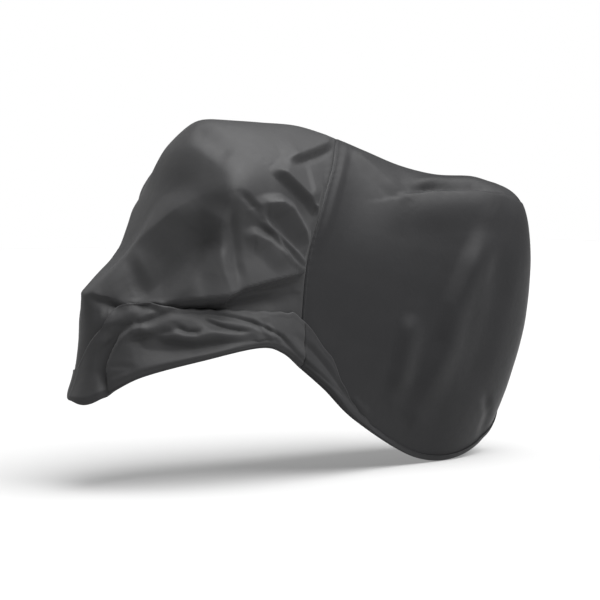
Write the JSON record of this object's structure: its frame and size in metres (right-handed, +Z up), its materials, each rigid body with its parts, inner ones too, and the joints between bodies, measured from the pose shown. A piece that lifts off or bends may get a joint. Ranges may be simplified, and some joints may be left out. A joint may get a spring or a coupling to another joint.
{
  "type": "motorcycle cover",
  "caption": "Hollow cloth cover in its draped shape, open below, two panels joined by a seam over the top, its lower edge turned up into a rolled skirt along one side.",
  "frame": {"origin": "middle of the foot of the cover's box, on the floor that its rear hem reaches", "axes": "+X from the nose to the tail, -Y towards the side whose skirt is turned up, +Z up"},
  "size_m": [2.148, 0.6808, 1.3457],
  "materials": {
    "front_cloth": "semi-gloss coated cloth",
    "rear_cloth": "semi-gloss coated cloth"
  },
  "bodies": {
    "root": {"front_panel": "front_cloth", "rear_panel": "rear_cloth"}
  },
  "joints": []
}
